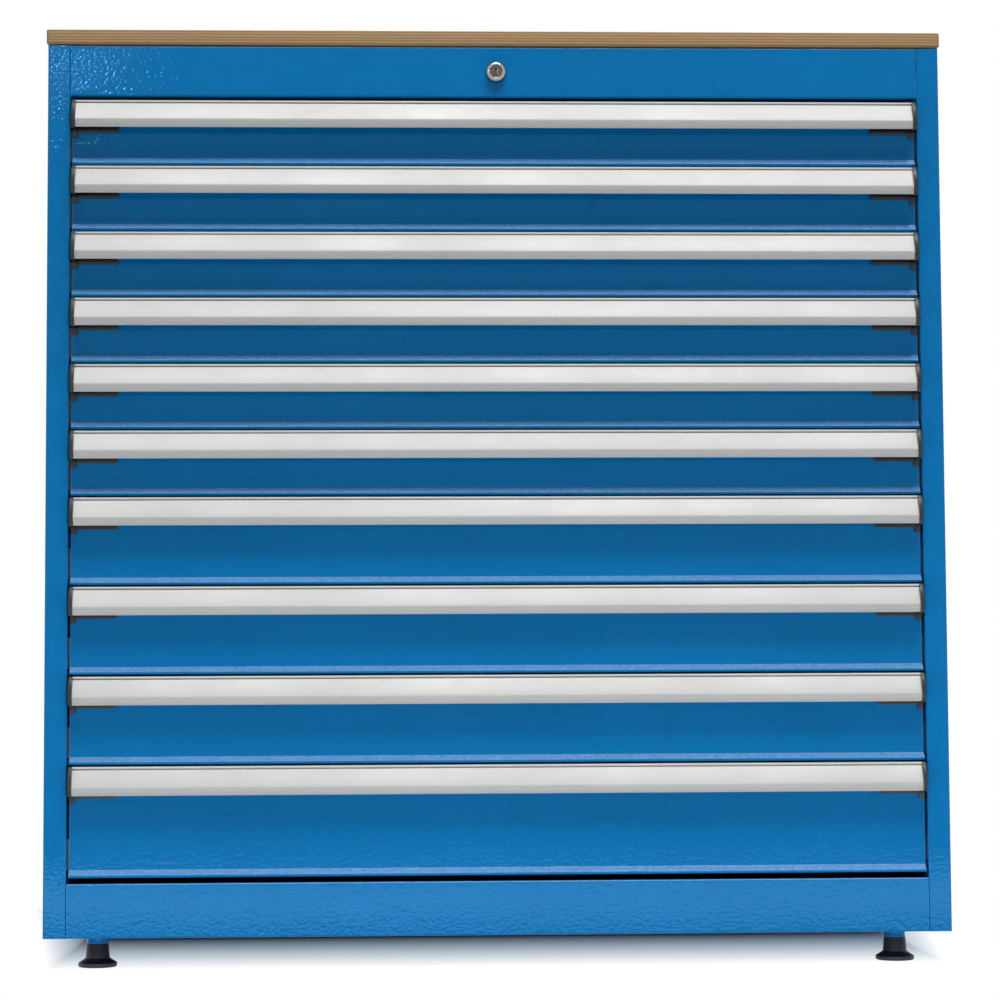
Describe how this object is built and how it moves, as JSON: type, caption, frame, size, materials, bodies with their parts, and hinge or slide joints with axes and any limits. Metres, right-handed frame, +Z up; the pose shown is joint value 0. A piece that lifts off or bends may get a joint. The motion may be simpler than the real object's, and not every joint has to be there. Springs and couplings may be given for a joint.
{
  "type": "drawer cabinet",
  "caption": "Blue steel workshop drawer cabinet with full-width aluminium grip handles, a central lock, a plywood worktop and levelling feet.",
  "frame": {"origin": "on the floor, under the middle of the whole object", "axes": "+X to the right as seen from the front, +Y to the back, +Z up; the drawers open towards -Y"},
  "size_m": [1.018, 0.617, 1.057],
  "materials": {
    "blue_paint": "semi-gloss powder coat with a fine orange peel",
    "anodised_aluminium": "satin anodised extrusion",
    "dark_plastic": "satin moulded plastic",
    "foot_plastic": "black moulded plastic",
    "zinc_steel": "bright zinc plate",
    "plywood": "clear sealed plywood with bare layered edges",
    "chrome": "bright chrome plate",
    "plug_metal": "dull nickel"
  },
  "bodies": {
    "cabinet": {"left_side_panel": "blue_paint", "right_side_panel": "blue_paint", "front_fascia": "blue_paint", "plinth": "blue_paint", "top_plate": "blue_paint", "bottom_plate": "blue_paint", "back_panel": "blue_paint", "rear_rail_posts": "zinc_steel", "cabinet_rails": "zinc_steel", "worktop": "plywood", "foot_bosses": "blue_paint", "levelling_feet": "foot_plastic", "foot_studs": "zinc_steel", "lock_housing": "chrome", "lock_nut": "zinc_steel", "lock_bar_guides": "zinc_steel"},
    "drawer_01": {"drawer_01_box": "blue_paint", "drawer_01_handle": "anodised_aluminium", "drawer_01_end_caps": "dark_plastic"},
    "middle_rails_01": {"drawer_01_middle_rails": "zinc_steel"},
    "drawer_02": {"drawer_02_box": "blue_paint", "drawer_02_handle": "anodised_aluminium", "drawer_02_end_caps": "dark_plastic"},
    "middle_rails_02": {"drawer_02_middle_rails": "zinc_steel"},
    "drawer_03": {"drawer_03_box": "blue_paint", "drawer_03_handle": "anodised_aluminium", "drawer_03_end_caps": "dark_plastic"},
    "middle_rails_03": {"drawer_03_middle_rails": "zinc_steel"},
    "drawer_04": {"drawer_04_box": "blue_paint", "drawer_04_handle": "anodised_aluminium", "drawer_04_end_caps": "dark_plastic"},
    "middle_rails_04": {"drawer_04_middle_rails": "zinc_steel"},
    "drawer_05": {"drawer_05_box": "blue_paint", "drawer_05_handle": "anodised_aluminium", "drawer_05_end_caps": "dark_plastic"},
    "middle_rails_05": {"drawer_05_middle_rails": "zinc_steel"},
    "drawer_06": {"drawer_06_box": "blue_paint", "drawer_06_handle": "anodised_aluminium", "drawer_06_end_caps": "dark_plastic"},
    "middle_rails_06": {"drawer_06_middle_rails": "zinc_steel"},
    "drawer_07": {"drawer_07_box": "blue_paint", "drawer_07_handle": "anodised_aluminium", "drawer_07_end_caps": "dark_plastic"},
    "middle_rails_07": {"drawer_07_middle_rails": "zinc_steel"},
    "drawer_08": {"drawer_08_box": "blue_paint", "drawer_08_handle": "anodised_aluminium", "drawer_08_end_caps": "dark_plastic"},
    "middle_rails_08": {"drawer_08_middle_rails": "zinc_steel"},
    "drawer_09": {"drawer_09_box": "blue_paint", "drawer_09_handle": "anodised_aluminium", "drawer_09_end_caps": "dark_plastic"},
    "middle_rails_09": {"drawer_09_middle_rails": "zinc_steel"},
    "drawer_10": {"drawer_10_box": "blue_paint", "drawer_10_handle": "anodised_aluminium", "drawer_10_end_caps": "dark_plastic"},
    "middle_rails_10": {"drawer_10_middle_rails": "zinc_steel"},
    "lock": {"lock_plug": "plug_metal", "lock_shaft": "zinc_steel"},
    "lock_bar": {"lock_bar": "zinc_steel"}
  },
  "joints": [
    {"name": "drawer_01_slide", "type": "slide", "parent": "cabinet", "child": "drawer_01", "axis": [0, -1, 0], "range_m": [0, 0.5]},
    {"name": "middle_rails_01_slide", "type": "slide", "parent": "cabinet", "child": "middle_rails_01", "axis": [0, -1, 0], "range_m": [0, 0.25]},
    {"name": "drawer_02_slide", "type": "slide", "parent": "cabinet", "child": "drawer_02", "axis": [0, -1, 0], "range_m": [0, 0.5]},
    {"name": "middle_rails_02_slide", "type": "slide", "parent": "cabinet", "child": "middle_rails_02", "axis": [0, -1, 0], "range_m": [0, 0.25]},
    {"name": "drawer_03_slide", "type": "slide", "parent": "cabinet", "child": "drawer_03", "axis": [0, -1, 0], "range_m": [0, 0.5]},
    {"name": "middle_rails_03_slide", "type": "slide", "parent": "cabinet", "child": "middle_rails_03", "axis": [0, -1, 0], "range_m": [0, 0.25]},
    {"name": "drawer_04_slide", "type": "slide", "parent": "cabinet", "child": "drawer_04", "axis": [0, -1, 0], "range_m": [0, 0.5]},
    {"name": "middle_rails_04_slide", "type": "slide", "parent": "cabinet", "child": "middle_rails_04", "axis": [0, -1, 0], "range_m": [0, 0.25]},
    {"name": "drawer_05_slide", "type": "slide", "parent": "cabinet", "child": "drawer_05", "axis": [0, -1, 0], "range_m": [0, 0.5]},
    {"name": "middle_rails_05_slide", "type": "slide", "parent": "cabinet", "child": "middle_rails_05", "axis": [0, -1, 0], "range_m": [0, 0.25]},
    {"name": "drawer_06_slide", "type": "slide", "parent": "cabinet", "child": "drawer_06", "axis": [0, -1, 0], "range_m": [0, 0.5]},
    {"name": "middle_rails_06_slide", "type": "slide", "parent": "cabinet", "child": "middle_rails_06", "axis": [0, -1, 0], "range_m": [0, 0.25]},
    {"name": "drawer_07_slide", "type": "slide", "parent": "cabinet", "child": "drawer_07", "axis": [0, -1, 0], "range_m": [0, 0.5]},
    {"name": "middle_rails_07_slide", "type": "slide", "parent": "cabinet", "child": "middle_rails_07", "axis": [0, -1, 0], "range_m": [0, 0.25]},
    {"name": "drawer_08_slide", "type": "slide", "parent": "cabinet", "child": "drawer_08", "axis": [0, -1, 0], "range_m": [0, 0.5]},
    {"name": "middle_rails_08_slide", "type": "slide", "parent": "cabinet", "child": "middle_rails_08", "axis": [0, -1, 0], "range_m": [0, 0.25]},
    {"name": "drawer_09_slide", "type": "slide", "parent": "cabinet", "child": "drawer_09", "axis": [0, -1, 0], "range_m": [0, 0.5]},
    {"name": "middle_rails_09_slide", "type": "slide", "parent": "cabinet", "child": "middle_rails_09", "axis": [0, -1, 0], "range_m": [0, 0.25]},
    {"name": "drawer_10_slide", "type": "slide", "parent": "cabinet", "child": "drawer_10", "axis": [0, -1, 0], "range_m": [0, 0.5]},
    {"name": "middle_rails_10_slide", "type": "slide", "parent": "cabinet", "child": "middle_rails_10", "axis": [0, -1, 0], "range_m": [0, 0.25]},
    {"name": "lock_bar_lift", "type": "slide", "parent": "cabinet", "child": "lock_bar", "axis": [0, 0, 1], "range_m": [0, 0.00848]},
    {"name": "lock_turn", "type": "hinge", "parent": "cabinet", "child": "lock", "pos_m": [0, -0.2915, 1.0095], "axis": [0, 1, 0], "range_deg": [0, 90]}
  ],
  "couplings": [
    {"joint": "middle_rails_01_slide", "follows": "drawer_01_slide", "ratio": 0.5},
    {"joint": "middle_rails_02_slide", "follows": "drawer_02_slide", "ratio": 0.5},
    {"joint": "middle_rails_03_slide", "follows": "drawer_03_slide", "ratio": 0.5},
    {"joint": "middle_rails_04_slide", "follows": "drawer_04_slide", "ratio": 0.5},
    {"joint": "middle_rails_05_slide", "follows": "drawer_05_slide", "ratio": 0.5},
    {"joint": "middle_rails_06_slide", "follows": "drawer_06_slide", "ratio": 0.5},
    {"joint": "middle_rails_07_slide", "follows": "drawer_07_slide", "ratio": 0.5},
    {"joint": "middle_rails_08_slide", "follows": "drawer_08_slide", "ratio": 0.5},
    {"joint": "middle_rails_09_slide", "follows": "drawer_09_slide", "ratio": 0.5},
    {"joint": "middle_rails_10_slide", "follows": "drawer_10_slide", "ratio": 0.5},
    {"joint": "lock_turn", "follows": "lock_bar_lift", "rad_per_m": 185.12}
  ]
}
